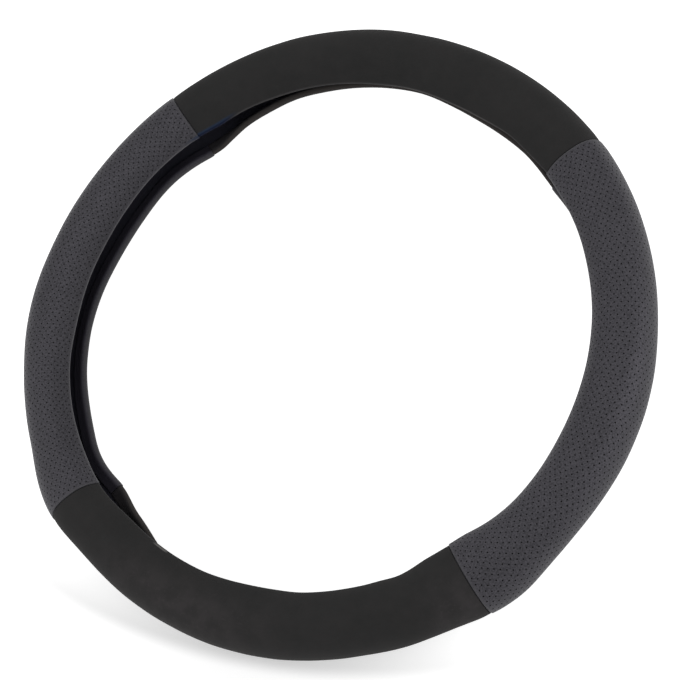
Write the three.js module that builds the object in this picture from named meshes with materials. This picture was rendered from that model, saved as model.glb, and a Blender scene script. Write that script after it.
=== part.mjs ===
// A steering wheel cover: four sewn panels, two of suede cloth and two of perforated leather, drawn round
// a moulded rubber ring of C section whose mouth faces the middle of the wheel.
//
// Millimetres, +Z up. The cover lies on its back: +Z is the driver's side, +Y the top of the wheel and
// +X its right. The origin is on the ring's axis, in the plane that the cover lies on.
//
// A cross-section is a list of [out, up] points. Out is counted from the circle through the middle of the
// grip, away from the ring's axis, and up from the plane halfway between front and back. Ring angles are in
// degrees from +X, anticlockwise seen from the front.

import * as THREE from "three";

// The ring and the grip, over the leather
const OUTSIDE_DIAMETER = 385;
const GRIP_REACH = 18.5; // from the middle of the grip to its outermost line
const GRIP_DEPTH = 37; // front to back
const GRIP_SQUARENESS = 2.7; // 2 gives an elliptical outer half, more a squarer one
const FLAT_HALF_ANGLE = 9; // half the angle that the flat front and back strips span

// What the cover is made of
const LEATHER_THICKNESS = 1.3;
const SUEDE_THICKNESS = 0.8;
const RUBBER_THICKNESS = 1.8;
const FIT_GAP = 0.3; // between a panel and the rubber inside it
const SEAM_GAP = 0.35; // between two panels at their seam
const SEAM_ROLL = 1.5; // how far from its edge a panel starts to roll in
const SEAM_DROP = 0.45; // how far the rolled edge lies below the panel's face

// The rubber's two edges: how far each reaches inwards from the middle of the grip, and how far it stands
// from the plane halfway between front and back
const LEATHER_LIPS = { front: { reach: 14.3, rise: 9.2 }, back: { reach: 13.5, rise: 12.8 } };
const SUEDE_LIPS = { front: { reach: 16.3, rise: 9.2 }, back: { reach: 11.8, rise: 6 } };
const LIPS_CHANGE = { before: 2, after: 10 }; // degrees from a seam, into the leather and into the suede

// The seams, and the finger rest at each: there the rubber swells outwards, and its two edges inwards.
// `suede` is 1 where the suede follows the seam anticlockwise, and -1 where it comes before it.
// Shifts and spreads are in degrees, and a shift goes from the seam into the suede.
const SEAMS = [
  { angle: 45.2, suede: 1, swell: 0.2, front: 2, back: 5.5, backShift: 13, backSpread: 21 },
  { angle: 136.2, suede: -1, swell: 0.2, front: 1.2, back: 5.9, backShift: 5.5, backSpread: 13.5 },
  { angle: 226, suede: 1, swell: 3.4, front: -1.8, back: 7.5, backShift: 7, backSpread: 11.5 },
  { angle: 313.5, suede: -1, swell: 3.4, front: 2.9, back: 5, backShift: 3, backSpread: 12 },
];
const SWELL_SHIFT = -2.9;
const SWELL_SPREAD = 7.9;
const FRONT_SPREAD = 11;
const SWELL_POWER = 2.6; // 2 gives a bell, more a flatter crown with steeper ends

// How finely the curves are divided
const RING_STEPS = 56;
const INNER_STEPS = 3; // from an edge of the rubber to the flat strip
const OUTER_STEPS = 8; // from one flat strip to the other, round the outside
const HEM_STEPS = 1; // how many inner steps the turned-in hem covers
const FOLD_STEPS = 4; // round the fold at a lip

const GRIP_RADIUS = OUTSIDE_DIAMETER / 2 - GRIP_REACH;
const RUBBER_REACH = GRIP_REACH - LEATHER_THICKNESS - FIT_GAP;
const RUBBER_RISE =
  (GRIP_DEPTH / 2 - LEATHER_THICKNESS - FIT_GAP) / Math.cos(THREE.MathUtils.degToRad(FLAT_HALF_ANGLE));
const QUARTER = 90;

// The difference between two ring angles, from -180 to 180 degrees
const turn = (a, b) => THREE.MathUtils.euclideanModulo(a - b + 180, 360) - 180;

// A rounded hump, 1 at its middle
const hump = (away, spread) => Math.exp(-(Math.abs(away / spread) ** SWELL_POWER));

// Degrees from a seam into the suede beside it, below 0 in the leather
const intoSuede = (angle, seam) => seam.suede * turn(angle, seam.angle);

// The sum over the seams of one of their swellings at a ring angle
function swelling(angle, part) {
  const share = (seam) => {
    const places = { swell: SWELL_SHIFT, front: 0, back: seam.backShift };
    const spreads = { swell: SWELL_SPREAD, front: FRONT_SPREAD, back: seam.backSpread };
    return seam[part] * hump(intoSuede(angle, seam) - places[part], spreads[part]);
  };
  return SEAMS.reduce((sum, seam) => sum + share(seam), 0);
}

// How much of the suede panels' lip a ring angle has, from 0 on the leather to 1 on the suede
function suedeShare(angle) {
  const near = (a, b) => (Math.abs(turn(angle, a.angle)) < Math.abs(turn(angle, b.angle)) ? a : b);
  const into = intoSuede(angle, SEAMS.reduce(near));
  return THREE.MathUtils.smoothstep(into, -LIPS_CHANGE.before, LIPS_CHANGE.after);
}

// Where one edge of the rubber is at a ring angle
function lip(angle, side) {
  const suede = suedeShare(angle);
  const mix = (size) => THREE.MathUtils.lerp(LEATHER_LIPS[side][size], SUEDE_LIPS[side][size], suede);
  return { reach: mix("reach") + swelling(angle, side), rise: mix("rise") };
}

// The section angles of the rubber's outer line, from its front edge over the outside to its back edge
function sectionAngles(front, back) {
  const steps = (from, to, count) =>
    Array.from({ length: count }, (_, i) => THREE.MathUtils.lerp(from, to, i / count));
  const start = 180 - THREE.MathUtils.radToDeg(Math.asin(front.rise / RUBBER_RISE));
  const end = 180 - THREE.MathUtils.radToDeg(Math.asin(back.rise / RUBBER_RISE));
  const flatStart = QUARTER + FLAT_HALF_ANGLE;
  const flatEnd = QUARTER - FLAT_HALF_ANGLE;
  return [
    ...steps(start, flatStart, INNER_STEPS),
    flatStart,
    ...steps(flatEnd, -flatEnd, OUTER_STEPS),
    -flatEnd,
    ...steps(-flatStart, -end, INNER_STEPS),
    -end,
  ];
}

// A point of the rubber's outer line. The outer half is a superellipse, and each inner quarter is part of
// the ellipse that passes through that edge of the rubber.
function rubberPoint(sectionAngle, reachOut, front, back) {
  const a = THREE.MathUtils.degToRad(sectionAngle);
  const edge = a > 0 ? front : back;
  const inward = edge.reach / Math.sqrt(1 - (edge.rise / RUBBER_RISE) ** 2);
  const rounded = (v, power) => Math.sign(v) * Math.abs(v) ** power;
  const outer = Math.cos(a) > 0;
  const out = outer ? reachOut * rounded(Math.cos(a), 2 / GRIP_SQUARENESS) : inward * Math.cos(a);
  return new THREE.Vector2(out, RUBBER_RISE * Math.sin(a));
}

// The rubber's outer line at a ring angle; without its swelling it is the line that the channel follows
function rubberLine(angle, swollen) {
  const front = lip(angle, "front");
  const back = lip(angle, "back");
  const swell = swollen ? swelling(angle, "swell") : 0;
  return sectionAngles(front, back).map((a) => rubberPoint(a, RUBBER_REACH + swell, front, back));
}

// The unit normal of the line from a to b, away from the grip's middle
function normal(a, b) {
  const along = b.clone().sub(a).normalize();
  return new THREE.Vector2(-along.y, along.x);
}

// A line moved outwards by a distance, with each of its straight pieces kept parallel
function offset(line, distance) {
  return line.map((point, i) => {
    const before = normal(line[Math.max(i - 1, 0)], line[Math.max(i, 1)]);
    const after = normal(line[Math.min(i, line.length - 2)], line[Math.min(i + 1, line.length - 1)]);
    const along = before.clone().add(after);
    return point.clone().addScaledVector(along, distance / (1 + before.dot(after)));
  });
}

// The points between the two ends of a half-round fold from one point to another, past the end of a line
function fold(from, to, ahead, steps) {
  const middle = from.clone().add(to).multiplyScalar(0.5);
  const half = to.clone().sub(from).multiplyScalar(0.5);
  return Array.from({ length: steps - 1 }, (_, i) => {
    const a = (Math.PI * (i + 1)) / steps;
    const point = middle.clone().addScaledVector(half, -Math.cos(a));
    return point.addScaledVector(ahead, half.length() * Math.sin(a));
  });
}

// Unit directions past the two ends of a line
function endDirections(line) {
  const last = line.length - 1;
  const first = line[0].clone().sub(line[1]).normalize();
  return { front: first, back: line[last].clone().sub(line[last - 1]).normalize() };
}

// The cross-section of the rubber ring
function rubberSection(angle) {
  const outside = rubberLine(angle, true);
  const inside = offset(rubberLine(angle, false), -RUBBER_THICKNESS);
  const past = endDirections(outside);
  const last = outside.length - 1;
  return [
    ...outside,
    ...fold(outside[last], inside[last], past.back, 2),
    ...inside.slice().reverse(),
    ...fold(inside[0], outside[0], past.front, 2),
  ];
}

// One side of a panel's cross-section, from its front hem over the outside to its back hem. It lies
// `outside` away from the rubber's outer line, and its hems `inside` away from the rubber's inner line.
function panelSide(angle, outside, inside, foldSteps) {
  const rubber = rubberLine(angle, true);
  const channel = rubberLine(angle, false);
  const face = offset(rubber, outside);
  const hem = offset(channel, -RUBBER_THICKNESS - inside);
  const past = endDirections(rubber);
  const last = face.length - 1;
  return [
    ...hem.slice(0, HEM_STEPS + 1).reverse(),
    ...fold(hem[0], face[0], past.front, foldSteps),
    ...face,
    ...fold(face[last], hem[last], past.back, foldSteps),
    ...hem.slice(last - HEM_STEPS).reverse(),
  ];
}

// The cross-section of a panel, with its face lowered by `drop`
function panelSection(angle, thickness, drop) {
  const showing = FIT_GAP + thickness - drop;
  const shown = panelSide(angle, showing, showing, FOLD_STEPS);
  const hidden = panelSide(angle, FIT_GAP, FIT_GAP, 2);
  return [...shown, ...hidden.reverse()];
}

// The two triangles of each square between neighbouring sections, split along its shorter diagonal
function sideFaces(corners, sections, points, closed) {
  const faces = [];
  for (let j = 0; j < (closed ? sections : sections - 1); j++) {
    const here = j * points;
    const next = ((j + 1) % sections) * points;
    for (let i = 0; i < points; i++) {
      const k = (i + 1) % points;
      const [a, b, c, d] = [here + i, here + k, next + k, next + i];
      const split = corners[a].distanceTo(corners[c]) < corners[b].distanceTo(corners[d]);
      faces.push(...(split ? [a, b, c, a, c, d] : [a, b, d, b, c, d]));
    }
  }
  return faces;
}

// The two cut ends of a swept solid
function endFaces(first, last, offsetToLast) {
  const start = THREE.ShapeUtils.triangulateShape(first, []);
  const end = THREE.ShapeUtils.triangulateShape(last, []);
  return [
    ...start.flatMap(([a, b, c]) => [a, b, c]),
    ...end.flatMap(([a, b, c]) => [offsetToLast + a, offsetToLast + c, offsetToLast + b]),
  ];
}

// A solid through cross-sections that stand at ring angles
function sweep(angles, sections, closed) {
  const corners = sections.flatMap((section, j) => {
    const a = THREE.MathUtils.degToRad(angles[j]);
    const place = ({ x, y }) => {
      const radius = GRIP_RADIUS + x;
      return new THREE.Vector3(radius * Math.cos(a), radius * Math.sin(a), y + GRIP_DEPTH / 2);
    };
    return section.map(place);
  });
  const points = sections[0].length;
  const faces = sideFaces(corners, sections.length, points, closed);
  if (!closed) {
    const last = sections.length - 1;
    faces.push(...endFaces(sections[0], sections[last], last * points));
  }
  const geometry = new THREE.BufferGeometry().setFromPoints(corners);
  geometry.setIndex(faces);
  return geometry;
}

// The four panels, each from one seam to the next
const PANELS = SEAMS.map((seam, i) => {
  const next = SEAMS[(i + 1) % SEAMS.length];
  return { from: seam.angle, to: seam.angle + THREE.MathUtils.euclideanModulo(next.angle - seam.angle, 360) };
});

// The ring angles of a panel's cross-sections, from one rolled edge to the other
function panelAngles({ from, to }) {
  const degrees = (length) => THREE.MathUtils.radToDeg(length / GRIP_RADIUS);
  const step = 360 / RING_STEPS;
  const start = from + degrees(SEAM_GAP / 2);
  const end = to - degrees(SEAM_GAP / 2);
  const roll = degrees(SEAM_ROLL);
  const first = Math.ceil((start + roll) / step + 0.25);
  const last = Math.floor((end - roll) / step - 0.25);
  const between = Array.from({ length: last - first + 1 }, (_, i) => (first + i) * step);
  return [start, start + roll, ...between, end - roll, end];
}

// A panel with its two rolled edges
function panel(span, thickness) {
  const angles = panelAngles(span);
  const drop = (i) => (i === 0 || i === angles.length - 1 ? SEAM_DROP : 0);
  const sections = angles.map((a, i) => panelSection(a, thickness, drop(i)));
  return sweep(angles, sections, false);
}

// The rubber has its cross-sections where the panels have theirs, so that the gap between them stays even
function rubberRing() {
  const angles = PANELS.flatMap(panelAngles);
  return sweep(angles, angles.map(rubberSection), true);
}

// Finishes
const suede = new THREE.MeshStandardMaterial({ color: 0x2b2b2b, roughness: 0.95, metalness: 0 });
const leather = new THREE.MeshStandardMaterial({ color: 0x424246, roughness: 0.6, metalness: 0 });
const rubber = new THREE.MeshStandardMaterial({ color: 0x0e0e10, roughness: 0.75, metalness: 0 });

function piece(name, geometry, material) {
  const mesh = new THREE.Mesh(geometry, material);
  mesh.name = name;
  return mesh;
}

const cover = new THREE.Group();
const [top, left, bottom, right] = PANELS;
cover.add(
  piece("rubber_ring", rubberRing(), rubber),
  piece("right_leather_panel", panel(right, LEATHER_THICKNESS), leather),
  piece("top_suede_panel", panel(top, SUEDE_THICKNESS), suede),
  piece("left_leather_panel", panel(left, LEATHER_THICKNESS), leather),
  piece("bottom_suede_panel", panel(bottom, SUEDE_THICKNESS), suede),
);

export default cover;
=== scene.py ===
"""A steering wheel cover that lies on its back on a pale floor.

The cover is a ring of C section whose mouth faces its middle. A moulded rubber lining carries four sewn
panels, which are drawn over its outside and turned in over both of its edges: two of napped suede cloth,
above and below, and two of leather with small round holes, left and right.

Shapes are worked out in millimetres, and go into the meshes in metres. A place on a panel is given by its
ring angle, in degrees from +X and anticlockwise seen from the front, and by its row, which is the distance
along the cross-section from the fold at the front edge, over the outside, towards the back edge.
"""

import math

import bpy
import numpy as np
from mathutils import Matrix, Vector


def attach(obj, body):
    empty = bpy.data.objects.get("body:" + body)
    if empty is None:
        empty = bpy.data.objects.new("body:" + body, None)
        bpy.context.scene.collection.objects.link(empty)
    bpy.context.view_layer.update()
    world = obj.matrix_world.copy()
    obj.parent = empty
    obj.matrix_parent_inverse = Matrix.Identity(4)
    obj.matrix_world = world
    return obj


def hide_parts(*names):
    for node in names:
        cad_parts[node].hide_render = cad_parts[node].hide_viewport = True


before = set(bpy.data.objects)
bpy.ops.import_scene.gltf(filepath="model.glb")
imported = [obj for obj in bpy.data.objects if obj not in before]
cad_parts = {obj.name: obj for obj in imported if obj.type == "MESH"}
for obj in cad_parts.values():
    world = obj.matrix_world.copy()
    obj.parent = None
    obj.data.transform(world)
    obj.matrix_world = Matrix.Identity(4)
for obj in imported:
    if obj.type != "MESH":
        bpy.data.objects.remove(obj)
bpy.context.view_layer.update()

MM = 0.001

# The ring and its grip, as the solids have them
GRIP_RADIUS = 174.0
GRIP_REACH = 18.5
GRIP_DEPTH = 37.0
GRIP_SQUARENESS = 2.7
RUBBER_THICKNESS = 1.8
FIT_GAP = 0.3
SEAM_GAP = 0.35
LEATHER_THICKNESS = 1.3
SUEDE_THICKNESS = 0.8
RUBBER_REACH = GRIP_REACH - LEATHER_THICKNESS - FIT_GAP
RUBBER_RISE = GRIP_DEPTH / 2 - LEATHER_THICKNESS - FIT_GAP

# How finely the cross-section is drawn: steps from each edge to the top or bottom of the grip, steps over the
# outside between those, and steps round a half-round edge
PANEL_STEPS = {"inner": 40, "outer": 120, "fold": 24}
RUBBER_STEPS = {"inner": 14, "outer": 36, "fold": 6}
RUBBER_LINES = 480  # round the ring

# The rubber's two edges: reach inwards from the middle of the grip, and rise from its middle plane
LEATHER_LIPS = {"front": (14.3, 9.2), "back": (13.5, 12.8)}
SUEDE_LIPS = {"front": (16.3, 9.2), "back": (11.8, 6.0)}
LIPS_CHANGE = (-2.0, 10.0)  # degrees from a seam into the suede

# The seams, with the finger rest at each; suede is 1 where the suede follows the seam anticlockwise
SEAMS = (
    {"angle": 45.2, "suede": 1, "swell": 0.2, "front": 2.0, "back": 5.5, "shift": 13.0, "spread": 21.0},
    {"angle": 136.2, "suede": -1, "swell": 0.2, "front": 1.2, "back": 5.9, "shift": 5.5, "spread": 13.5},
    {"angle": 226.0, "suede": 1, "swell": 3.4, "front": -1.8, "back": 7.5, "shift": 7.0, "spread": 11.5},
    {"angle": 313.5, "suede": -1, "swell": 3.4, "front": 2.9, "back": 5.0, "shift": 3.0, "spread": 12.0},
)
SWELL_SHIFT = -2.9
SWELL_SPREAD = 7.9
FRONT_SPREAD = 11.0
SWELL_POWER = 2.6

# The leather's holes: staggered rows that run along the ring
HOLE_PITCH = 5.05  # along a row, before it is stretched a little to end evenly at both seams
ROW_PITCH = 1.94
HOLE_RADIUS = 0.47
HOLE_DEPTH = 0.85
HOLE_MARGIN = 5.0  # from either fold's middle to the nearest row
SEAM_MARGIN = 2.5  # from a seam to the nearest hole
PATTERN_RADIUS = 180.0  # where lengths along the ring are counted

# How the soft ring lies: places where the grip is fuller or flatter, or where a lip stands further in or out,
# each with its ring angle, its size and its spread in degrees
LIES = {
    "grip": ((107, 2.4, 21), (352, 1.8, 15), (322, 1.2, 10), (301, 0.9, 8), (274, 0.5, 14),
             (228, 0.6, 8), (185, 1.2, 8.5), (154, -0.7, 14)),
    "front": ((204, -2.7, 14), (163, 1.0, 12), (133, 1.0, 5), (87.5, 1.2, 11), (69.5, 2.8, 10.5),
              (28, 1.1, 12), (330, -0.5, 10), (315, 1.2, 5), (303, -1.4, 4), (270, 1.1, 8)),
    "back": ((208, 0.7, 6), (191, -0.4, 8), (161.5, 2.9, 14.5), (131, 2.4, 5), (110, 0.6, 35),
             (73, 1.0, 8.5)),
}

# Creases and cushions of the face: ring angle, row, height, spread in degrees, and spread in rows
DENTS = (
    (339, 27, -0.9, 9, 3.2),
    (353, 35, 0.9, 16, 5.0),
    (206, 10.5, -0.9, 11, 3.5),
    (160, 21, 0.8, 18, 7.0),
)

# Where the leather is paler or darker than elsewhere, as painted highlights and shade: ring angle, row,
# share, spread in degrees and in rows
LEATHER_PAINTED_LIGHT = (
    (180, 2, -0.28, 45, 7.5),
    (172, 18, 0.09, 40, 5.0),
    (172, 29, -0.07, 40, 4.0),
    (208, 12, -0.14, 9, 6.0),
    (0, 37, 0.36, 15, 4.5),
    (345, 38, 0.12, 10, 5.0),
    (318, 34, -0.12, 8, 5.0),
    (339, 27, -0.07, 10, 3.0),
    (22, 43, -0.16, 12, 4.0),
    (32, 28, -0.08, 8, 8.0),
)

# How the panels are made up
HEM_LENGTH = 9.5  # from the middle of a fold to the cut edge inside
HEM_POINTS = 20  # of a drawn cross-section, in each hem
LEATHER_ROLL = 0.7  # the radius of a panel's turned edge at a seam
SUEDE_ROLL = 0.45
FLAT_ROLL = 0.25  # what is left of that radius where the edge is pressed flat past the folds
CLOSED_GAP = 0.1  # the gap of a seam past the folds, where its turned edges are pressed together
CLOSED_FROM, CLOSED_WITHIN = 4.0, 0.5  # from a seam, where a panel starts to shift towards it and has shifted
PRESSED_FROM, PRESSED_TO = -6.0, -1.0  # past a fold, where the seam starts to be pressed flat and is flat
SEAM_DIP = 0.2  # how far the sewing pulls both faces down
SEAM_DIP_WIDTH = 3.5
LEATHER_RIPPLE = {"height": 0.06, "length": 30.0, "seed": 3}
SUEDE_RIPPLE = {"height": 0.08, "length": 26.0, "seed": 11}
RIPPLE_WAVES = 14
RIPPLE_LENGTHS = (0.7, 1.5)  # the shortest and the longest wave, over the usual length

# How far apart the lines of a panel's surface are
LEATHER_WAY_STEP = 0.8  # along the ring, past the last hole
LEATHER_ROW_STEP = 0.6  # across it, past the last hole
SUEDE_WAY_STEP = 1.15
SUEDE_ROW_STEP = 0.92
ROLL_TURNS = (0, 22, 42, 60, 76)  # degrees round a rolled edge
ROLL_BEYOND = 1.5  # the next line after the roll, over its radius
STRIDE = 4  # the hidden side of a panel has every fourth line of its shown side
LINES_APART = 1000.0  # more than the length of any cross-section
TINY = 1e-6  # allowed for when a grid line is looked up

# The camera: the ring first faces it, is turned by SPIN, and then leans back about a line in the picture
CAMERA_DISTANCE = 1150.0
CAMERA_SIDE = (7.44, -4.91)  # from the ring's middle to the line of sight, in the picture's directions
CAMERA_LENS = 104.4
CAMERA_SENSOR = 36.0
CAMERA_SEES = 20.0  # metres
SPIN = math.radians(-12.01)
TILT = math.radians(26.86)
TILT_WAY = math.radians(-46.98)

# The light: each lamp's way round from the picture's right and height above the floor in degrees, then its
# distance and size in metres, and its watts
LAMPS = {
    "overhead": (90, 84, 1.1, 0.9, 0.6),
    "right": (0, 30, 0.65, 0.45, 0.42),
    "top": (90, 30, 0.65, 0.45, 0.2),
    "left": (180, 30, 0.65, 0.45, 0.3),
    "bottom": (260, 30, 0.65, 0.45, 0.3),
}
WORLD_STRENGTH = 0.71

# The floor: its half width, and the lift that is added to its paint for the camera. The lift is painted light
# and shade.
# It is highest inside the ring, where it hides the ring's shadow, and near the ring it falls from one value
# to the other down the picture, a painted shadow. Within a wide circle it falls further, painting that shadow
# darker, so that the ring's shadow shows as far as that
FLOOR_HALF = 4000.0
LIFT_INSIDE = 0.92
LIFT_BELOW = 0.31
LIFT_WAY = math.radians(260.7)  # in the picture, from its right
LIFT_FROM, LIFT_TO = 60.0, 320.0
SHADE_FROM = 151.0
SHADE_GROWTH = 0.0071  # for each millimetre further down
SHADE_MOST = 0.8
SHADE_MIDDLE = (-16.1, 237.7, 0.0)
SHADE_EDGE = (428.5, 438.7)
RING_MIDDLE = (0.0, 0.0, 0.0)
NEAR_RING = (240.0, 330.0)  # from the ring's middle, where both of these end


def turn(a, b):
    """The difference between ring angles, from -180 to 180 degrees."""
    return (a - b + 180) % 360 - 180


def smoothstep(value, start, end):
    """0 before start, 1 after end, and 3u^2 - 2u^3 of the share u in between."""
    u = np.clip((value - start) / (end - start), 0, 1)
    return u * u * (3 - 2 * u)


def swelling(angles, part):
    """The sum over the seams of size * exp(-|away / spread| ^ 2.6), with away counted into the suede."""
    total = np.zeros_like(angles)
    for seam in SEAMS:
        place = {"swell": SWELL_SHIFT, "front": 0.0, "back": seam["shift"]}[part]
        spread = {"swell": SWELL_SPREAD, "front": FRONT_SPREAD, "back": seam["spread"]}[part]
        away = seam["suede"] * turn(angles, seam["angle"]) - place
        total = total + seam[part] * np.exp(-np.abs(away / spread) ** SWELL_POWER)
    return total


def lying(angles, part):
    """The sum over the places where the soft ring lies unevenly of size * exp(-|away / spread| ^ 2.6)."""
    return sum(size * np.exp(-np.abs(turn(angles, angle) / spread) ** SWELL_POWER)
               for angle, size, spread in LIES[part])


def lip(angles, side):
    """Reach and rise of one edge of the rubber: the leather's and the suede's, mixed near each seam."""
    into = np.stack([s["suede"] * turn(angles, s["angle"]) for s in SEAMS])
    nearest = np.take_along_axis(into, np.abs(into).argmin(0)[None], 0)[0]
    suede = smoothstep(nearest, *LIPS_CHANGE)
    (leather_reach, leather_rise), (suede_reach, suede_rise) = LEATHER_LIPS[side], SUEDE_LIPS[side]
    reach = leather_reach + (suede_reach - leather_reach) * suede
    reach = reach + swelling(angles, side) + lying(angles, side)
    return reach, leather_rise + (suede_rise - leather_rise) * suede


def rubber_line(angles, swollen, steps):
    """The rubber's outer line at each ring angle, from its front edge over the outside to its back edge.

    Its outer half is the superellipse |out / reach|^2.7 + |up / rise|^2.7 = 1, and each inner quarter is part
    of the ellipse with the same rise that passes through that edge of the rubber.
    """
    (front_reach, front_rise), (back_reach, back_rise) = lip(angles, "front"), lip(angles, "back")
    start = math.pi - np.arcsin(front_rise / RUBBER_RISE)
    end = np.arcsin(back_rise / RUBBER_RISE) - math.pi
    quarter = math.pi / 2
    share = np.linspace(0, 1, steps["inner"] + 1)
    outside = np.linspace(quarter, -quarter, steps["outer"] + 1)
    section = np.concatenate([
        start[:, None] + (quarter - start[:, None]) * share[:-1],
        np.broadcast_to(outside, (len(angles), len(outside))),
        -quarter + (end[:, None] + quarter) * share[1:],
    ], 1)
    cos, sin = np.cos(section), np.sin(section)
    front_half = front_reach / np.sqrt(1 - (front_rise / RUBBER_RISE) ** 2)
    back_half = back_reach / np.sqrt(1 - (back_rise / RUBBER_RISE) ** 2)
    inner_half = np.where(sin > 0, front_half[:, None], back_half[:, None])
    outer_half = RUBBER_REACH + lying(angles, "grip") + (swelling(angles, "swell") if swollen else 0)
    out = np.where(cos > 0, outer_half[:, None] * np.abs(cos) ** (2 / GRIP_SQUARENESS), inner_half * cos)
    return np.stack([out, RUBBER_RISE * np.sin(section)], -1)


def line_normals(line):
    """Unit directions along each line and to its outer side, from differences of neighbouring points."""
    along = np.gradient(line, axis=1)
    along = along / np.linalg.norm(along, axis=-1, keepdims=True)
    return along, np.stack([-along[..., 1], along[..., 0]], -1)


def half_round(start, end, ahead, steps):
    """The points strictly between start and end on the half circle that bulges ahead of them."""
    a = np.linspace(0, math.pi, steps + 1)[1:-1][None, :, None]
    middle, half = (start + end) / 2, (end - start) / 2
    radius = np.linalg.norm(half, axis=-1)[:, None, None]
    return middle[:, None] - np.cos(a) * half[:, None] + radius * np.sin(a) * ahead[:, None]


def panel_line(angles, thickness):
    """A panel's shown line: front hem, front fold, face, back fold and back hem.

    The face lies outside the rubber by the gap and the panel's thickness, each hem lies as far inside the
    rubber's channel, and each fold is a half circle between them. Also gives back each point's distance from
    the middle of the front fold, and that of the middle of the back fold.
    """
    rubber, channel = rubber_line(angles, True, PANEL_STEPS), rubber_line(angles, False, PANEL_STEPS)
    along, outward = line_normals(rubber)
    _, channel_outward = line_normals(channel)
    face = rubber + outward * (FIT_GAP + thickness)
    hem = channel - channel_outward * (RUBBER_THICKNESS + FIT_GAP + thickness)
    front = half_round(hem[:, 0], face[:, 0], -along[:, 0], PANEL_STEPS["fold"])
    back = half_round(face[:, -1], hem[:, -1], along[:, -1], PANEL_STEPS["fold"])
    line = np.concatenate([hem[:, HEM_POINTS:0:-1], hem[:, :1], front, face, back, hem[:, -1:],
                           hem[:, -2:-HEM_POINTS - 2:-1]], 1)
    distance = np.linalg.norm(np.diff(line, axis=1), axis=-1).cumsum(1)
    distance = np.concatenate([np.zeros((len(angles), 1)), distance], 1)
    front_fold = HEM_POINTS + 1 + front.shape[1] // 2
    back_fold = line.shape[1] - 1 - front_fold
    start = distance[:, front_fold]
    return line, distance - start[:, None], distance[:, back_fold] - start


def at_distances(line, distance, wanted):
    """The points of each line at the wanted distances, with all lines laid end to end on one long axis."""
    apart = LINES_APART * np.arange(len(line))[:, None]
    known, asked = (distance + apart).ravel(), (wanted + apart).ravel()
    both = [np.interp(asked, known, line[..., i].ravel()) for i in range(2)]
    return np.stack(both, -1).reshape(*wanted.shape, 2)


def on_ring(points, angles):
    """Cross-section points (out, up) at ring angles as points of space, in millimetres."""
    a = np.radians(angles)
    radius = GRIP_RADIUS + points[..., 0]
    return np.stack([radius * np.cos(a), radius * np.sin(a), points[..., 1] + GRIP_DEPTH / 2], -1)


def grid_normals(points):
    """Unit normals of a grid (across, along): the cross product of its two directions, outwards."""
    across = np.gradient(points, axis=1)
    along = np.gradient(points, axis=0)
    normal = np.cross(across, along)
    return normal / np.linalg.norm(normal, axis=-1, keepdims=True)


def ripple(points, height, length, seed):
    """A smooth random height: height * the sum of waves in random directions / the root of their number."""
    random = np.random.default_rng(seed)
    ways = random.normal(size=(RIPPLE_WAVES, 3))
    ways /= np.linalg.norm(ways, axis=1, keepdims=True)
    ways *= 2 * math.pi / (length * random.uniform(*RIPPLE_LENGTHS, RIPPLE_WAVES)[:, None])
    phases = random.uniform(0, 2 * math.pi, RIPPLE_WAVES)
    return height * np.sin(points @ ways.T + phases).sum(-1) / math.sqrt(RIPPLE_WAVES)


def make_mesh(name, points, quads, triangles, layers=None, rims=None, pits=None):
    """A smooth mesh object from points in millimetres and faces.

    layers holds values at the points by name. rims tells which points are on the rim of a hole, so that the
    edges between them are sharp, and pits which of the first faces are inside a hole.
    """
    corners = np.concatenate([quads.ravel(), triangles.ravel()]).astype(np.int32)
    sizes = np.concatenate([np.full(len(quads), 4), np.full(len(triangles), 3)])
    starts = np.concatenate([[0], sizes.cumsum()[:-1]]).astype(np.int32)
    mesh = bpy.data.meshes.new(name)
    mesh.vertices.add(len(points))
    mesh.vertices.foreach_set("co", (points * MM).astype(np.float32).ravel())
    mesh.loops.add(len(corners))
    mesh.loops.foreach_set("vertex_index", corners)
    mesh.polygons.add(len(sizes))
    mesh.polygons.foreach_set("loop_start", starts)
    mesh.polygons.foreach_set("use_smooth", np.full(len(sizes), True))
    for key, values in (layers or {}).items():
        kind, field = ("FLOAT_VECTOR", "vector") if values.shape[1] == 3 else ("FLOAT", "value")
        layer = mesh.attributes.new(key, kind, "POINT")
        layer.data.foreach_set(field, values.astype(np.float32).ravel())
    mesh.update(calc_edges=True)
    mesh.validate()
    if rims is not None:
        ends = np.zeros(2 * len(mesh.edges), np.int32)
        mesh.edges.foreach_get("vertices", ends)
        sharp = mesh.attributes.new("sharp_edge", "BOOLEAN", "EDGE")
        sharp.data.foreach_set("value", rims[ends.reshape(-1, 2)].all(1))
        inside = np.zeros(len(sizes), np.float32)
        inside[:len(pits)] = pits
        layer = mesh.attributes.new("hole", "FLOAT", "FACE")
        layer.data.foreach_set("value", inside)
    obj = bpy.data.objects.new(name, mesh)
    bpy.context.collection.objects.link(obj)
    return obj


def grid_quads(lines, points, start=0, closed_lines=False, closed_points=False):
    """The squares of a grid whose lines of points lie one after the other, facing line x point."""
    i = np.arange(lines if closed_lines else lines - 1)[:, None]
    j = np.arange(points if closed_points else points - 1)[None, :]
    i2, j2 = (i + 1) % lines, (j + 1) % points
    corners = (i * points + j, i * points + j2, i2 * points + j2, i2 * points + j)
    return np.stack(np.broadcast_arrays(*corners), -1).reshape(-1, 4) + start


def border(lines, points):
    """The indices round the edge of a grid, once, starting at its first point."""
    index = np.arange(lines * points).reshape(lines, points)
    return np.concatenate([index[0, :-1], index[:-1, -1], index[-1, :0:-1], index[:0:-1, 0]])


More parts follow.
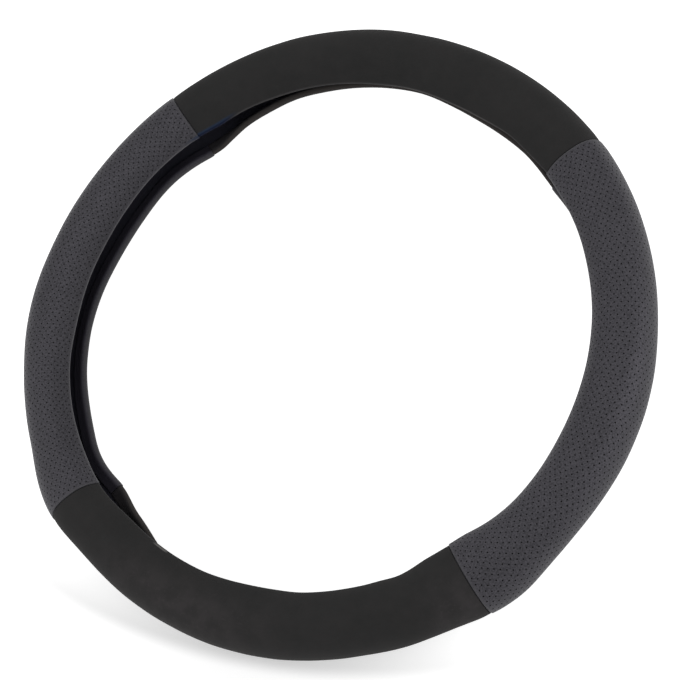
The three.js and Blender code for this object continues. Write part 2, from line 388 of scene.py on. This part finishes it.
def shell(name, shown, hidden, layers, rims=None, pits=None):
    """A closed sheet: a fine shown side, a hidden one with every fourth line, and a rim that joins them."""
    lines, points = shown.shape[:2]
    coarse_lines, coarse_points = hidden.shape[:2]
    count = lines * points
    quads = np.concatenate([
        grid_quads(lines, points),
        grid_quads(coarse_lines, coarse_points, count)[:, ::-1],
    ])
    outer, inner = border(lines, points), border(coarse_lines, coarse_points) + count
    i = np.arange(len(outer))
    j = np.arange(len(inner))
    to_outer = np.stack([outer[i], inner[i // STRIDE], outer[(i + 1) % len(outer)]], -1)
    to_inner = np.stack([inner[j], inner[(j + 1) % len(inner)], outer[(STRIDE * (j + 1)) % len(outer)]], -1)
    triangles = np.concatenate([to_outer, to_inner])
    hidden_points = hidden.reshape(-1, 3)
    all_points = np.concatenate([shown.reshape(-1, 3), hidden_points])
    both_sides = {}
    for key, values in layers.items():
        coarse = values[::STRIDE, ::STRIDE].reshape(len(hidden_points), -1)
        both_sides[key] = np.concatenate([values.reshape(count, -1), coarse])
    if rims is not None:
        rims = np.concatenate([rims.ravel(), np.zeros(coarse_lines * coarse_points, bool)])
        pits = pits.ravel()
    return make_mesh(name, all_points, quads, triangles, both_sides, rims, pits)


def spread(start, end, step):
    """Evenly spaced values from start to end, about a step apart, without the end."""
    return np.linspace(start, end, max(1, round((end - start) / step)), endpoint=False)


def whole_strides(values):
    """The values, with the widest gaps halved until their number is right for the hidden side's strides."""
    while (len(values) - 1) % STRIDE:
        widest = np.diff(values).argmax()
        values = np.insert(values, widest + 1, values[widest:widest + 2].mean())
    return values


def edge_steps(radius):
    """Distances from a rolled edge, at even steps round its quarter circle and a little beyond."""
    turns = np.radians(ROLL_TURNS)
    return np.concatenate([radius * (1 - np.cos(turns)), [radius, radius * ROLL_BEYOND]])


def both_ways(values):
    """The values above 0, with 0 and their mirror image."""
    values = values[values > 0]
    return np.concatenate([-values[::-1], [0], values])


def between_seams(first):
    """The middle angle of the panel after a seam, and half its length at the pattern's radius."""
    start = SEAMS[first]["angle"]
    span = (SEAMS[(first + 1) % len(SEAMS)]["angle"] - start) % 360
    return start + span / 2, math.radians(span / 2) * PATTERN_RADIUS - SEAM_GAP / 2


def through_holes(middles):
    """Grid lines through the middles and both rims of holes."""
    return (middles[:, None] + np.array([-HOLE_RADIUS, 0, HOLE_RADIUS])).ravel()


def soft_spots(spots, angles, rows):
    """The sum over spots of size * exp(-(angle away / degrees)^2) * exp(-(rows away / width)^2)."""
    return sum(size * np.exp(-(turn(angles, angle) / degrees) ** 2 - ((rows - row) / width) ** 2)
               for angle, row, size, degrees, width in spots)


def panel_grid(middle, half, ways, rows, thickness):
    """A panel's face: its points, outward normals, places on the flat cut, and distances to the nearer seam.

    The points lie on the panel's lines at the wanted rows, moved along their normals by the dents. A place
    on the cut is its way along the ring, its row, and how far it lies past the nearer fold. Past halfway the
    rows shift smoothly, to end up counted from the back fold, as the grip is not equally thick all along.
    """
    angles = middle + np.degrees(ways / PATTERN_RADIUS)
    line, distance, length = panel_line(angles, thickness)
    usual = face_length(middle, thickness)
    wanted = rows + (length - usual)[:, None] * smoothstep(rows / usual, 0.5, 1.0)
    past_fold = np.maximum(-rows, rows - usual)[None, :]
    to_seam = np.broadcast_to((half - np.abs(ways))[:, None], wanted.shape)
    closing = smoothstep(to_seam, CLOSED_FROM, CLOSED_WITHIN) * pressed(past_fold)
    closing = closing * (SEAM_GAP - CLOSED_GAP) / 2
    closing = np.degrees(closing * np.sign(ways)[:, None] / PATTERN_RADIUS)
    points = on_ring(at_distances(line, distance, wanted), angles[:, None] + closing)
    points = points + grid_normals(points) * soft_spots(DENTS, angles[:, None], rows)[..., None]
    cut = np.stack(np.broadcast_arrays(ways[:, None], rows[None, :], past_fold), -1)
    return points, grid_normals(points), cut, to_seam


def face_length(middle, thickness):
    """The distance from the front fold to the back fold halfway along a panel."""
    return float(panel_line(np.array([middle, middle + 1]), thickness)[2][0])


def pressed(past_fold):
    """1 where the seams are pressed flat at a fold and past it, and 0 on the face."""
    return smoothstep(past_fold, PRESSED_FROM, PRESSED_TO)


def rolled_down(to_edge, radius, past_fold):
    """How far a face sinks towards an edge rolled to a quarter circle: radius - root(radius^2 - inside^2).

    The radius shrinks to a share of FLAT_ROLL where the seams are pressed flat.
    """
    radius = radius * (1 - (1 - FLAT_ROLL) * pressed(past_fold))
    inside = np.clip(radius - to_edge, 0, radius)
    return radius - np.sqrt(radius ** 2 - inside ** 2)


def sewn_dip(to_edge, past_fold):
    """How far the sewing pulls a face down: depth * exp(-(distance / width)^2), and 0 past the folds."""
    return SEAM_DIP * np.exp(-(to_edge / SEAM_DIP_WIDTH) ** 2) * (1 - pressed(past_fold))


def sewn_face(points, normals, cut, to_edge, roll, uneven, first):
    """A panel's face with its sewn dip and ripple, and then also with its rolled edges."""
    past_fold = cut[..., 2]
    pulled = points - normals * sewn_dip(to_edge, past_fold)[..., None]
    rippled = ripple(points, uneven["height"], uneven["length"], uneven["seed"] + first)
    pulled = pulled + normals * rippled[..., None]
    return pulled, pulled - normals * rolled_down(to_edge, roll, past_fold)[..., None]


def press_holes(points, normals, ways, rows, hole_ways, hole_rows):
    """Rounds the grid about each hole of a staggered pattern, sinks its middle, and tells its rim and faces.

    Each hole is two grid squares wide and two high, and its corners move in to the root of a half of their
    distance.
    """
    i, j = np.meshgrid(np.arange(len(hole_ways)), np.arange(len(hole_rows)), indexing="ij")
    staggered = (i + j) % 2 == len(hole_ways) // 2 % 2
    i = np.searchsorted(ways, hole_ways - TINY)[i[staggered]]
    j = np.searchsorted(rows, hole_rows - TINY)[j[staggered]]
    centre = points[i, j]
    for di, dj in ((-1, -1), (-1, 1), (1, -1), (1, 1)):
        points[i + di, j + dj] = centre + (points[i + di, j + dj] - centre) * math.sqrt(0.5)
    points[i, j] = centre - normals[i, j] * HOLE_DEPTH
    rims = np.zeros(points.shape[:2], bool)
    pits = np.zeros((points.shape[0] - 1, points.shape[1] - 1), bool)
    for di in (-1, 0, 1):
        for dj in (-1, 0, 1):
            rims[i + di, j + dj] = True
            pits[i + min(di, 0), j + min(dj, 0)] = True
    rims[i, j] = False
    return rims, pits


def leather_panel(name, first):
    """A leather panel with rows of holes, a sewn dip and rolled ends at its seams, and hems inside."""
    middle, half = between_seams(first)
    length = face_length(middle, LEATHER_THICKNESS)
    each_way = round((half - SEAM_MARGIN) / (HOLE_PITCH / 2))
    hole_ways = np.linspace(SEAM_MARGIN - half, half - SEAM_MARGIN, 2 * each_way + 1)
    hole_rows = np.arange(HOLE_MARGIN, length - HOLE_MARGIN, ROW_PITCH)
    through = through_holes(hole_rows)
    last_way = hole_ways[-1] + HOLE_RADIUS
    ends = edge_steps(LEATHER_ROLL)
    ways = whole_strides(both_ways(np.concatenate([
        through_holes(hole_ways),
        spread(last_way, half - ends[-1], LEATHER_WAY_STEP)[1:],
        half - ends[::-1],
    ])))
    rows = whole_strides(np.concatenate([
        spread(-HEM_LENGTH, through[0], LEATHER_ROW_STEP),
        through,
        spread(through[-1], length + HEM_LENGTH, LEATHER_ROW_STEP)[1:],
        [length + HEM_LENGTH],
    ]))
    points, normals, cut, to_edge = panel_grid(middle, half, ways, rows, LEATHER_THICKNESS)
    pulled, shown = sewn_face(points, normals, cut, to_edge, LEATHER_ROLL, LEATHER_RIPPLE, first)
    rims, pits = press_holes(shown, normals, ways, rows, hole_ways, hole_rows)
    hidden = (pulled - normals * LEATHER_THICKNESS)[::STRIDE, ::STRIDE]
    angles = middle + np.degrees(ways / PATTERN_RADIUS)
    # tone holds the leather's painted highlights and shade
    layers = {"cut": cut, "to_seam": to_edge, "tone": soft_spots(LEATHER_PAINTED_LIGHT, angles[:, None], rows)}
    return shell(name, shown, hidden, layers, rims, pits), (2 * half, length + 2 * HEM_LENGTH)


def suede_panel(name, first):
    """A suede panel: a slightly uneven face, a sewn dip and rolled ends at its seams, and hems inside."""
    middle, half = between_seams(first)
    length = face_length(middle, SUEDE_THICKNESS)
    ends = edge_steps(SUEDE_ROLL)
    ways = whole_strides(both_ways(np.concatenate([
        spread(0, half - ends[-1], SUEDE_WAY_STEP),
        half - ends[::-1],
    ])))
    rows = whole_strides(np.concatenate([
        spread(-HEM_LENGTH, length + HEM_LENGTH, SUEDE_ROW_STEP),
        [length + HEM_LENGTH],
    ]))
    points, normals, cut, to_edge = panel_grid(middle, half, ways, rows, SUEDE_THICKNESS)
    pulled, shown = sewn_face(points, normals, cut, to_edge, SUEDE_ROLL, SUEDE_RIPPLE, first)
    hidden = (pulled - normals * SUEDE_THICKNESS)[::STRIDE, ::STRIDE]
    return shell(name, shown, hidden, {"cut": cut, "to_seam": to_edge}), (2 * half, length + 2 * HEM_LENGTH)


def rubber_lining(name):
    """The rubber ring: its outer and inner lines joined by half-round edges, carried once round."""
    angles = np.linspace(0, 360, RUBBER_LINES, endpoint=False)
    outer, channel = rubber_line(angles, True, RUBBER_STEPS), rubber_line(angles, False, RUBBER_STEPS)
    along, _ = line_normals(outer)
    _, outward = line_normals(channel)
    inner = channel - outward * RUBBER_THICKNESS
    front = half_round(inner[:, 0], outer[:, 0], -along[:, 0], RUBBER_STEPS["fold"])
    back = half_round(outer[:, -1], inner[:, -1], along[:, -1], RUBBER_STEPS["fold"])
    points = on_ring(np.concatenate([outer, back, inner[:, ::-1], front], 1), angles[:, None])
    quads = grid_quads(*points.shape[:2], closed_lines=True, closed_points=True)
    return make_mesh(name, points.reshape(-1, 3), quads, np.zeros((0, 3), int))


class Value:
    """A socket of a material. Arithmetic on it adds Math nodes."""

    def __init__(self, surface, socket):
        self.surface = surface
        self.socket = socket

    def math(self, operation, first, second):
        """The result of one Math node."""
        return self.surface.node("ShaderNodeMath", {"operation": operation}, {0: first, 1: second})

    def __add__(self, other):
        return self.math("ADD", self, other)

    def __radd__(self, other):
        return self.math("ADD", other, self)

    def __sub__(self, other):
        return self.math("SUBTRACT", self, other)

    def __rsub__(self, other):
        return self.math("SUBTRACT", other, self)

    def __mul__(self, other):
        return self.math("MULTIPLY", self, other)

    def __rmul__(self, other):
        return self.math("MULTIPLY", other, self)

    def least(self, other):
        """The smaller of two values."""
        return self.math("MINIMUM", self, other)

    def most(self, other):
        """The larger of two values."""
        return self.math("MAXIMUM", self, other)

    def step(self, start, end):
        """0 before start and 1 after end, or the other way round, with a smooth change between."""
        low, high, ends = (start, end, (0.0, 1.0)) if start < end else (end, start, (1.0, 0.0))
        values = {0: self, 1: low, 2: high, 3: ends[0], 4: ends[1]}
        return self.surface.node("ShaderNodeMapRange", {"interpolation_type": "SMOOTHSTEP"}, values)

    def band(self, start, full, still, end):
        """1 from full to still, and 0 before start and after end, with smooth changes between."""
        return self.step(start, full) * self.step(end, still)


class Surface:
    """The nodes of one material."""

    def __init__(self, name):
        self.material = bpy.data.materials.new(name)
        self.material.use_nodes = True
        self.tree = self.material.node_tree
        self.tree.nodes.clear()

    def node(self, kind, settings=None, values=None, out=0):
        """Adds a node, makes its settings, fills or links its sockets, and gives back one output."""
        node = self.tree.nodes.new(kind)
        for key, setting in (settings or {}).items():
            setattr(node, key, setting)
        for key, value in (values or {}).items():
            if isinstance(value, Value):
                self.tree.links.new(value.socket, node.inputs[key])
            else:
                node.inputs[key].default_value = value
        return Value(self, node.outputs[out])

    def place(self):
        """The point of the object, in metres."""
        return self.node("ShaderNodeTexCoord", out="Object")

    def cut(self):
        """The row, and the distance past the nearer fold, in millimetres."""
        vector = self.node("ShaderNodeAttribute", {"attribute_name": "cut"}, out="Vector")
        return [self.node("ShaderNodeSeparateXYZ", values={0: vector}, out=i) for i in (1, 2)]

    def layer(self, name):
        """A value kept in the mesh: to_seam in millimetres, tone, which holds the leather's painted
        highlights and shade, or hole, which is 1 inside the holes.
        """
        return self.node("ShaderNodeAttribute", {"attribute_name": name}, out="Fac")

    def measure(self, operation, first, second):
        """A number from two vectors, such as their distance or dot product."""
        return self.node("ShaderNodeVectorMath", {"operation": operation}, {0: first, 1: second}, out="Value")

    def noise(self, vector, size, detail, roughness):
        """Noise of about a size in millimetres, from 0 to 1 with its mean at 0.5."""
        values = {"Vector": vector, "Scale": 1 / (size * MM), "Detail": detail, "Roughness": roughness}
        return self.node("ShaderNodeTexNoise", values=values)

    def cells(self, vector, count):
        """The smoothed distance to the nearest of scattered points, with about a count to a metre."""
        values = {"Vector": vector, "Scale": count}
        return self.node("ShaderNodeTexVoronoi", {"feature": "SMOOTH_F1"}, values)

    def mix(self, share, start, end):
        """From one colour to another by a share from 0 to 1."""
        return self.node("ShaderNodeMix", {"data_type": "RGBA"}, {0: share, 6: start, 7: end}, out=2)

    def scaled(self, colour, by):
        """A colour times a number."""
        return self.node("ShaderNodeVectorMath", {"operation": "SCALE"}, {0: colour, "Scale": by})

    def bump(self, height, depth):
        """The normal of a relief whose height of 1 stands for a depth in millimetres."""
        return self.node("ShaderNodeBump", values={"Height": height, "Distance": depth * MM, "Strength": 1.0})

    def finish(self, **sockets):
        """Ends the material in a Principled shader; a socket's name has _ for each space."""
        values = {key.replace("_", " "): value for key, value in sockets.items()}
        return self.output(self.node("ShaderNodeBsdfPrincipled", values=values))

    def output(self, shader):
        """Ends the material in a shader."""
        output = self.tree.nodes.new("ShaderNodeOutputMaterial")
        self.tree.links.new(shader.socket, output.inputs["Surface"])
        return self.material


def level(red, green, blue):
    """A colour given by its screen levels from 0 to 255."""
    def linear(v):
        v /= 255
        return v / 12.92 if v <= 0.04045 else ((v + 0.055) / 1.055) ** 2.4
    return (linear(red), linear(green), linear(blue), 1.0)


# The leather: its colours, its noises by size in millimetres, detail and roughness, their shares in its tone
# and its relief, and what the grain and the holes add to its roughness
LEATHER_PAINT = {
    "dark": level(54, 53, 58),
    "pale": level(78, 76, 82),
    # edge is the painted highlight on the rolled edges at the seams
    "edge": level(80, 79, 82),
    # Along the folds: a painted highlight on the front fold, painted shade on the back fold, and painted
    # shade where tucked in
    "front fold highlight": level(73, 72, 76),
    "back fold": level(62, 61, 64),
    "tucked shade": level(52, 50, 59),
    "hole": level(10, 10, 12),
}
LEATHER_NOISE = {"clouds": (22.0, 3.0, 0.5), "grain": (1.1, 3.0, 0.6), "mottle": (0.9, 1.0, 0.6)}
LEATHER_CELLS = 900.0  # to a metre
LEATHER_TONE = {"clouds": 0.12, "mottle": 0.88}
LEATHER_RANGE = (0.32, 0.68)  # of that tone, from its dark paint to its pale one
LEATHER_RELIEF = {"cells": 0.7, "grain": 0.5}
LEATHER_RELIEF_DEPTH = 0.06
LEATHER_ROUGHNESS = {"usual": 0.56, "grain": 0.16, "hole": 0.3}

# Where the leather is paler beside a seam, a painted highlight on its rolled edge, and past a fold where that
# ends
SEAM_HIGHLIGHT = (1.6, 0.7)
SEAM_HIGHLIGHT_FACE = (-1.0, -4.0)
SEAM_HIGHLIGHT_SHARE = 0.5

# The suede, in the same way
SUEDE_PAINT = {
    "dark": level(39, 39, 39),
    "pale": level(46, 45, 45),
    # The dust colour, also used where the lower panel is paler
    "dust and paling": level(60, 57, 58),
    # Along the folds: a painted highlight on the front fold, brighter in one place, a painted highlight of
    # warm tint on the back fold, and painted shade where tucked in
    "front fold highlight": level(68, 67, 68),
    "brightest fold highlight": level(94, 92, 92),
    "back fold": level(64, 60, 58),
    "tucked shade": level(46, 44, 47),
    "sheen": level(120, 118, 116),
}
SUEDE_NOISE = {
    "clouds": (30.0, 3.0, 0.55),
    "strokes": (7.0, 3.0, 0.6),
    "fibres": (0.6, 3.0, 0.7),
    "patches": (12.0, 3.0, 0.55),
    "specks": (2.2, 2.0, 0.6),
}
SUEDE_TONE = {"clouds": 0.45, "strokes": 0.3, "fibres": 0.25}
SUEDE_RANGE = (0.3, 0.7)
SUEDE_RELIEF = {"fibres": 0.7, "strokes": 0.6}
SUEDE_RELIEF_DEPTH = 0.10

# The rubber, in the same way
RUBBER_PAINT = {"dark": level(50, 50, 60), "pale": level(58, 57, 68)}
RUBBER_NOISE = {"bloom": (18.0, 3.0, 0.5), "pores": (0.8, 2.0, 0.6)}
RUBBER_TONE = {"bloom": 0.7, "pores": 0.3}
RUBBER_RANGE = (0.3, 0.75)
RUBBER_RELIEF_DEPTH = 0.05
RUBBER_ROUGHNESS = {"usual": 0.62, "bloom": 0.2}

# A panel's folds: the rows where the front gives way to the back, where past a fold its own tone, painted
# light and shade, comes in and goes out, how strong that tone is, and where the tucked-in part's painted
# shade starts and is darkest
BACK_ROWS = (20.0, 30.0)
FOLD_LIGHT_BAND = (-3.4, -2.0, 0.6, 1.6)
FOLD_LIGHT_SHARE = 0.8
TUCKED_SHADE = (0.6, 4.4)

# The floor's own paint, under its lift
FLOOR_PAINT = level(225, 225, 225)

# Marks on the front fold: a dark blue smear, thin beside the fold and darker over its turned part, where
# painted shade is added, and a light fleck, a painted glint. Each has its middle, the distances from that
# where it stops being full and where it ends, and its band of rows
SMEAR = {"middle": (-107.0, 115.5, 28.6), "reach": (8.0, 21.0), "rows": (-4.0, -2.5, 3.4, 5.1)}
SMEAR_PAINT = {"thin": level(34, 48, 70), "shaded": level(0, 14, 44)}
# The rows where painted shade darkens the smear over the fold's turned part
SMEAR_SHADED_ROWS = (3.8, 2.5)
# A painted glint on the front fold
FOLD_GLINT = {"middle": (-60.8, -145.8, 29.8), "reach": (3.0, 6.5), "rows": (2.8, 3.4, 4.3, 4.9)}
FOLD_GLINT_PAINT = level(108, 106, 104)

# Where the painted highlight on the suede's front fold is brightest
FOLD_HIGHLIGHT_SPOT = {"middle": (40.6, 151.6, 29.0), "reach": (20.0, 60.0)}

# Where the suede is paler: its nap rubbed and dusty by one seam, and the lower panel paler away from its
# front fold. This has its least share everywhere there, more in patches and in specks, and its most
SEAM_DUST = {"middle": (125.0, -147.0, 29.0), "reach": (4.0, 34.0)}
LOWER_PALING = {"middle": (-42.0, -185.0, 30.0), "reach": (4.0, 90.0)}
LOWER_PALING_ROWS = (6.0, 26.0)
DUST_SHARE = {"least": 0.25, "patches": 0.5, "specks": 0.3, "most": 0.9}
DUST_PATCHES = (0.35, 0.65)
DUST_SPECKS = (0.56, 0.70)


def noises(surface, place, kinds):
    """Each named noise of a material."""
    return {name: surface.noise(place, *kind) for name, kind in kinds.items()}


def blend(patterns, shares):
    """The sum of the named patterns, each times its share."""
    total = 0.0
    for name, share in shares.items():
        total = total + patterns[name] * share
    return total


def about(surface, place, middle, reach):
    """1 within the first distance of a point of the ring and 0 past the second, all in millimetres."""
    full, end = reach
    return surface.measure("DISTANCE", place, [v * MM for v in middle]).step(end * MM, full * MM)


def marked(surface, place, row, mark):
    """1 on a mark of the front fold and 0 away from it: about its middle, times its band of rows."""
    return about(surface, place, mark["middle"], mark["reach"]) * row.band(*mark["rows"])


def folded(surface, base, place, row, past_fold, front, paint):
    """A panel's colour about its folds.

    It has one tone on each fold, a painted highlight on the front folds and painted light and shade on the
    back ones, changes to a darker one where it is tucked in, painted shade, which starts 1 mm sooner at the
    back fold, and has the smear, darkened by painted shade over the fold's turned part, and the painted glint
    over these.
    """
    behind = row.step(*BACK_ROWS)
    # Painted light and shade along each fold, then painted shade where it is tucked in
    fold_light = past_fold.band(*FOLD_LIGHT_BAND)
    base = surface.mix(fold_light * FOLD_LIGHT_SHARE, base, surface.mix(behind, front, paint["back fold"]))
    base = surface.mix((past_fold + behind).step(*TUCKED_SHADE), base, paint["tucked shade"])
    # The smear, darker with painted shade over the fold's turned part, and the painted glint
    smear = surface.mix(row.step(*SMEAR_SHADED_ROWS), SMEAR_PAINT["thin"], SMEAR_PAINT["shaded"])
    base = surface.mix(marked(surface, place, row, SMEAR), base, smear)
    return surface.mix(marked(surface, place, row, FOLD_GLINT), base, FOLD_GLINT_PAINT)


def leather_finish():
    """Dark grey leather: fine grain, a soft change of tone, painted highlights and shade on its face, a
    painted highlight along its edges at the seams and on its front folds, painted shade where it is tucked
    in, and black inside its holes.
    """
    skin = Surface("leather")
    place = skin.place()
    row, past_fold = skin.cut()
    hole = skin.layer("hole")
    patterns = noises(skin, place, LEATHER_NOISE)
    patterns["cells"] = skin.cells(place, LEATHER_CELLS)
    tone = blend(patterns, LEATHER_TONE).step(*LEATHER_RANGE)
    base = skin.mix(tone, LEATHER_PAINT["dark"], LEATHER_PAINT["pale"])
    # Painted highlights and shade: the colour is scaled up or down by the tone layer
    base = skin.scaled(base, skin.layer("tone") + 1.0)
    # A painted highlight along the rolled edges at the seams
    edge = skin.layer("to_seam").step(*SEAM_HIGHLIGHT) * past_fold.step(*SEAM_HIGHLIGHT_FACE)
    base = skin.mix(edge * SEAM_HIGHLIGHT_SHARE, base, LEATHER_PAINT["edge"])
    base = folded(skin, base, place, row, past_fold, LEATHER_PAINT["front fold highlight"], LEATHER_PAINT)
    rough = LEATHER_ROUGHNESS
    return skin.finish(
        Base_Color=skin.mix(hole, base, LEATHER_PAINT["hole"]),
        Roughness=rough["usual"] + (patterns["grain"] - 0.5) * rough["grain"] + hole * rough["hole"],
        Normal=skin.bump(blend(patterns, LEATHER_RELIEF) * (1 - hole), LEATHER_RELIEF_DEPTH),
        Specular_IOR_Level=0.28,
    )


def dust_and_paling(cloth, place, row, patterns):
    """How far the suede goes to its pale colour, dusty by one seam and paler on the lower panel, times the
    sum of its shares there.
    """
    seam = about(cloth, place, SEAM_DUST["middle"], SEAM_DUST["reach"])
    lower = about(cloth, place, LOWER_PALING["middle"], LOWER_PALING["reach"]) * row.step(*LOWER_PALING_ROWS)
    patches = patterns["patches"].step(*DUST_PATCHES) * DUST_SHARE["patches"]
    specks = patterns["specks"].step(*DUST_SPECKS) * DUST_SHARE["specks"]
    return seam.most(lower) * (DUST_SHARE["least"] + patches + specks).least(DUST_SHARE["most"])


def suede_finish():
    """Nearly black suede cloth: a short uneven nap, dusty by one seam, paler on the lower panel away from its
    front fold, painted highlights along its folds, brightest on part of one front fold, and painted shade
    where it is tucked in.
    """
    cloth = Surface("suede")
    place = cloth.place()
    row, past_fold = cloth.cut()
    patterns = noises(cloth, place, SUEDE_NOISE)
    tone = blend(patterns, SUEDE_TONE).step(*SUEDE_RANGE)
    base = cloth.mix(tone, SUEDE_PAINT["dark"], SUEDE_PAINT["pale"])
    # Dust by one seam, and paler on the lower panel away from its front fold
    base = cloth.mix(dust_and_paling(cloth, place, row, patterns), base, SUEDE_PAINT["dust and paling"])
    # The painted highlight on the front fold, brightest in one place
    brightest_highlight = about(cloth, place, FOLD_HIGHLIGHT_SPOT["middle"], FOLD_HIGHLIGHT_SPOT["reach"])
    front = cloth.mix(brightest_highlight, SUEDE_PAINT["front fold highlight"], SUEDE_PAINT["brightest fold highlight"])
    return cloth.finish(
        Base_Color=folded(cloth, base, place, row, past_fold, front, SUEDE_PAINT),
        Roughness=0.93,
        Normal=cloth.bump(blend(patterns, SUEDE_RELIEF), SUEDE_RELIEF_DEPTH),
        Specular_IOR_Level=0.25,
        Sheen_Weight=0.12,
        Sheen_Roughness=0.6,
        Sheen_Tint=SUEDE_PAINT["sheen"],
    )


def rubber_finish():
    """Near-black rubber with the fine bloom of its mould."""
    rubber = Surface("rubber")
    patterns = noises(rubber, rubber.place(), RUBBER_NOISE)
    tone = blend(patterns, RUBBER_TONE).step(*RUBBER_RANGE)
    return rubber.finish(
        Base_Color=rubber.mix(tone, RUBBER_PAINT["dark"], RUBBER_PAINT["pale"]),
        Roughness=RUBBER_ROUGHNESS["usual"] + (patterns["bloom"] - 0.5) * RUBBER_ROUGHNESS["bloom"],
        Normal=rubber.bump(patterns["pores"], RUBBER_RELIEF_DEPTH),
        Specular_IOR_Level=0.35,
    )


def floor_finish(way):
    """A pale floor that is lifted towards white for the camera and in reflections, with its shadows kept.

    The lift is LIFT_INSIDE - (lower + shade * within) * near, and at least 0. Here lower grows down the
    picture, shade grows further down, and within and near are 1 inside their circles and 0 outside them.
    Where lower and shade take the lift away the floor is darker, a painted shadow below the ring, and the
    high lift inside the ring is painted light, which hides the ring's shadow there.
    """
    floor = Surface("floor")
    kinds = ("Camera", "Glossy", "Transmission")
    camera, glossy, passing = [floor.node("ShaderNodeLightPath", out=f"Is {kind} Ray") for kind in kinds]
    place = floor.place()
    along = floor.measure("DOT_PRODUCT", place, list(way))
    # lower and shade take lift away below the ring: a painted shadow
    lower = (LIFT_INSIDE - LIFT_BELOW) * along.step(LIFT_FROM * MM, LIFT_TO * MM)
    shade = ((along - SHADE_FROM * MM) * (SHADE_GROWTH / MM)).most(0.0).least(SHADE_MOST)
    within = about(floor, place, SHADE_MIDDLE, SHADE_EDGE)
    near = about(floor, place, RING_MIDDLE, NEAR_RING)
    lift = (LIFT_INSIDE - (lower + shade * within) * near).most(0.0)
    strength = camera.most(glossy).most(passing) * lift
    paint = floor.node("ShaderNodeBsdfDiffuse", values={"Color": FLOOR_PAINT})
    light = floor.node("ShaderNodeEmission", values={"Color": (1, 1, 1, 1), "Strength": strength})
    return floor.output(floor.node("ShaderNodeAddShader", values={0: paint, 1: light}))


def make_camera():
    """The camera at the photograph's place; gives back its axes in the ring's frame as columns."""
    line = (-math.sin(TILT_WAY), math.cos(TILT_WAY), 0)
    axes = Matrix.Rotation(-SPIN, 3, "Z") @ Matrix.Rotation(TILT, 3, line)
    middle = Vector((0, 0, GRIP_DEPTH / 2))
    place = (middle + axes @ Vector((*CAMERA_SIDE, CAMERA_DISTANCE))) * MM
    data = bpy.data.cameras.new("camera")
    data.lens = CAMERA_LENS
    data.sensor_width = CAMERA_SENSOR
    data.clip_end = CAMERA_SEES
    camera = bpy.data.objects.new("camera", data)
    camera.matrix_world = Matrix.Translation(place) @ axes.to_4x4()
    bpy.context.collection.objects.link(camera)
    bpy.context.scene.camera = camera
    return axes


def floor_way(axes, angle):
    """The way along the floor that the picture shows at an angle from its right."""
    way = axes.col[0] * math.cos(angle) + axes.col[1] * math.sin(angle)
    return Vector((way.x, way.y, 0)).normalized()


def make_lamps(axes):
    """Wide soft lamps round the ring, all turned to its middle."""
    for name, (round_way, height, distance, size, watts) in LAMPS.items():
        height = math.radians(height)
        way = floor_way(axes, math.radians(round_way)) * math.cos(height) + Vector((0, 0, math.sin(height)))
        light = bpy.data.lights.new(name, "AREA")
        light.shape = "DISK"
        light.size = size
        light.energy = watts
        lamp = bpy.data.objects.new(name, light)
        lamp.location = way * distance
        lamp.rotation_mode = "QUATERNION"
        lamp.rotation_quaternion = way.to_track_quat("Z", "Y")
        bpy.context.collection.objects.link(lamp)


def make_world():
    """A plain white world, which lights less strongly than the camera sees it."""
    world = bpy.data.worlds.new("world")
    bpy.context.scene.world = world
    world.use_nodes = True
    nodes, links = world.node_tree.nodes, world.node_tree.links
    nodes.clear()
    path = nodes.new("ShaderNodeLightPath")
    strength = nodes.new("ShaderNodeMapRange")
    strength.inputs["To Min"].default_value = WORLD_STRENGTH
    strength.inputs["To Max"].default_value = 1.0
    background = nodes.new("ShaderNodeBackground")
    output = nodes.new("ShaderNodeOutputWorld")
    links.new(path.outputs["Is Camera Ray"], strength.inputs["Value"])
    links.new(strength.outputs[0], background.inputs["Strength"])
    links.new(background.outputs[0], output.inputs["Surface"])


def make_floor(axes):
    """A wide flat floor under the cover."""
    points = FLOOR_HALF * np.array([[-1, -1, 0], [1, -1, 0], [1, 1, 0], [-1, 1, 0]])
    floor = make_mesh("floor", points, np.array([[0, 1, 2, 3]]), np.zeros((0, 3), int))
    floor.data.materials.append(floor_finish(floor_way(axes, LIFT_WAY)))


bpy.context.scene.view_settings.view_transform = "Standard"
axes = make_camera()
make_lamps(axes)
make_world()
make_floor(axes)

lining = rubber_lining("rubber_lining")
lining.data.materials.append(rubber_finish())
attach(lining, "root")
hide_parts("rubber_ring")

suede = suede_finish()
leather = leather_finish()
for name, first, make, finish, node, slot in (
    ("top_suede", 0, suede_panel, suede, "top_suede_panel", "suede"),
    ("left_leather", 1, leather_panel, leather, "left_leather_panel", "leather"),
    ("bottom_suede", 2, suede_panel, suede, "bottom_suede_panel", "suede"),
    ("right_leather", 3, leather_panel, leather, "right_leather_panel", "leather"),
):
    piece, flat = make(name, first)
    piece.data.materials.append(finish)
    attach(piece, "root")
    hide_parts(node)
    flat[0] * MM
    flat[1] * MM
